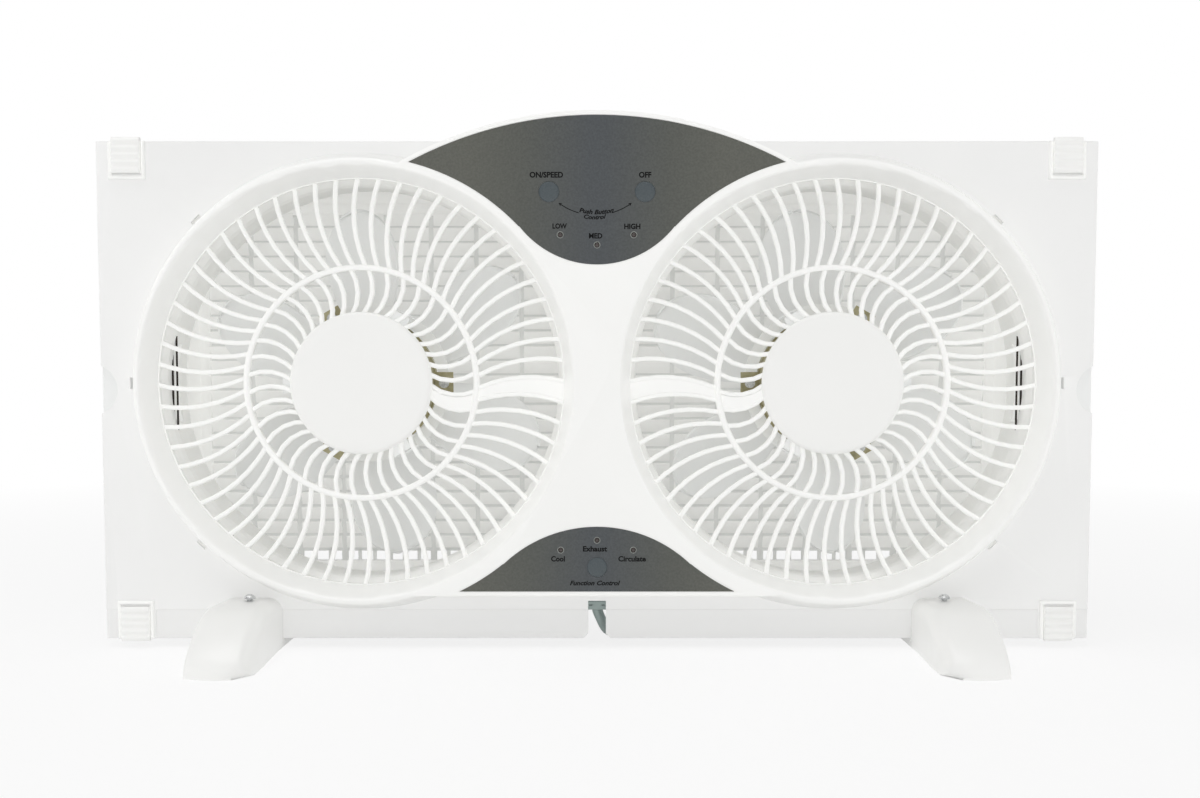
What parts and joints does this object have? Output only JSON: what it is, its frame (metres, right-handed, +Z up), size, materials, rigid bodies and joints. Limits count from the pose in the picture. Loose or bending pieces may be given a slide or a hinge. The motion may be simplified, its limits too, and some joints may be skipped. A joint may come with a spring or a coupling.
{
  "type": "window fan",
  "caption": "Window fan with paired round grilles, a control pod between them, sliding side extenders, slide locks and screw-on feet.",
  "frame": {"origin": "middle of the feet's footprint, on the floor", "axes": "+X along the width to the viewer's right, -Y out of the front grilles, +Z up"},
  "size_m": [0.61, 0.3323, 0.3264],
  "materials": {
    "panel_white": "satin moulded ABS",
    "bezel_white": "glossy moulded ABS",
    "grille_white": "semi-gloss moulded ABS",
    "blade_white": "translucent polypropylene",
    "housing_white": "fine-textured ABS",
    "overlay_grey": "printed polycarbonate film",
    "button_grey": "matt moulded ABS",
    "lamp_red": "tinted epoxy",
    "ir_window": "dark infrared-pass acrylic",
    "switch_black": "moulded nylon",
    "board_green": "coated glass laminate",
    "capacitor_white": "potted polyester box",
    "motor_steel": "yellow-chromated pressed steel",
    "lamination_steel": "stacked silicon steel",
    "winding_copper": "enamelled copper wire",
    "shaft_steel": "ground steel",
    "screw_steel": "zinc-plated steel",
    "cord_grey": "matt PVC",
    "plug_grey": "moulded PVC with brass blades",
    "tie_black": "nylon strap"
  },
  "bodies": {
    "housing": {"front_panel": "panel_white", "front_bezel": "bezel_white", "top_overlay": "overlay_grey", "bottom_overlay": "overlay_grey", "tact_switches": "switch_black", "indicator_lamps": "lamp_red", "ir_receiver": "ir_window", "control_board": "board_green", "mode_board": "board_green", "run_capacitors": "capacitor_white", "left_grille": "grille_white", "right_grille": "grille_white", "left_wire_cover": "grille_white", "right_wire_cover": "grille_white", "left_hub_cap": "bezel_white", "right_hub_cap": "bezel_white", "left_motor_mount": "grille_white", "right_motor_mount": "grille_white", "left_motor_front": "motor_steel", "right_motor_front": "motor_steel", "left_motor_rear": "motor_steel", "right_motor_rear": "motor_steel", "left_stator": "lamination_steel", "right_stator": "lamination_steel", "left_windings": "winding_copper", "right_windings": "winding_copper", "motor_bearings": "shaft_steel", "motor_screws": "screw_steel", "left_shroud": "housing_white", "right_shroud": "housing_white", "rear_housing": "housing_white", "left_rear_grille": "grille_white", "right_rear_grille": "grille_white", "left_foot": "bezel_white", "right_foot": "bezel_white", "foot_screws": "screw_steel", "case_screws": "screw_steel", "case_spacers": "housing_white", "cord_gland": "cord_grey", "power_cord": "cord_grey", "cord_coil": "cord_grey", "coil_tie": "tie_black", "plug": "plug_grey"},
    "left_fan": {"left_impeller": "blade_white", "left_spinner": "blade_white", "left_rotor": "lamination_steel", "left_shaft": "shaft_steel"},
    "right_fan": {"right_impeller": "blade_white", "right_spinner": "blade_white", "right_rotor": "lamination_steel", "right_shaft": "shaft_steel"},
    "left_extender": {"left_extender": "blade_white"},
    "right_extender": {"right_extender": "blade_white"},
    "lock_top_left": {"lock_top_left": "bezel_white"},
    "lock_top_right": {"lock_top_right": "bezel_white"},
    "lock_bottom_left": {"lock_bottom_left": "bezel_white"},
    "lock_bottom_right": {"lock_bottom_right": "bezel_white"},
    "speed_button": {"speed_button": "button_grey"},
    "off_button": {"off_button": "button_grey"},
    "function_button": {"function_button": "button_grey"}
  },
  "joints": [
    {"name": "left_fan_spin", "type": "hinge", "parent": "housing", "child": "left_fan", "pos_m": [-0.145, 0, 0.164], "axis": [0, 1, 0], "continuous": true},
    {"name": "right_fan_spin", "type": "hinge", "parent": "housing", "child": "right_fan", "pos_m": [0.145, 0, 0.164], "axis": [0, 1, 0], "continuous": true},
    {"name": "left_extender_slide", "type": "slide", "parent": "housing", "child": "left_extender", "axis": [-1, 0, 0], "range_m": [0, 0.028]},
    {"name": "right_extender_slide", "type": "slide", "parent": "housing", "child": "right_extender", "axis": [1, 0, 0], "range_m": [0, 0.028]},
    {"name": "lock_top_left_slide", "type": "slide", "parent": "housing", "child": "lock_top_left", "axis": [0, 0, 1], "range_m": [0, 0.004]},
    {"name": "lock_top_right_slide", "type": "slide", "parent": "housing", "child": "lock_top_right", "axis": [0, 0, 1], "range_m": [0, 0.004]},
    {"name": "lock_bottom_left_slide", "type": "slide", "parent": "housing", "child": "lock_bottom_left", "axis": [0, 0, -1], "range_m": [0, 0.004]},
    {"name": "lock_bottom_right_slide", "type": "slide", "parent": "housing", "child": "lock_bottom_right", "axis": [0, 0, -1], "range_m": [0, 0.004]},
    {"name": "speed_button_press", "type": "slide", "parent": "housing", "child": "speed_button", "axis": [0, 1, 0], "range_m": [0, 0.0006], "stiffness_N_per_m": 1500},
    {"name": "off_button_press", "type": "slide", "parent": "housing", "child": "off_button", "axis": [0, 1, 0], "range_m": [0, 0.0006], "stiffness_N_per_m": 1500},
    {"name": "function_button_press", "type": "slide", "parent": "housing", "child": "function_button", "axis": [0, 1, 0], "range_m": [0, 0.0006], "stiffness_N_per_m": 1500}
  ]
}
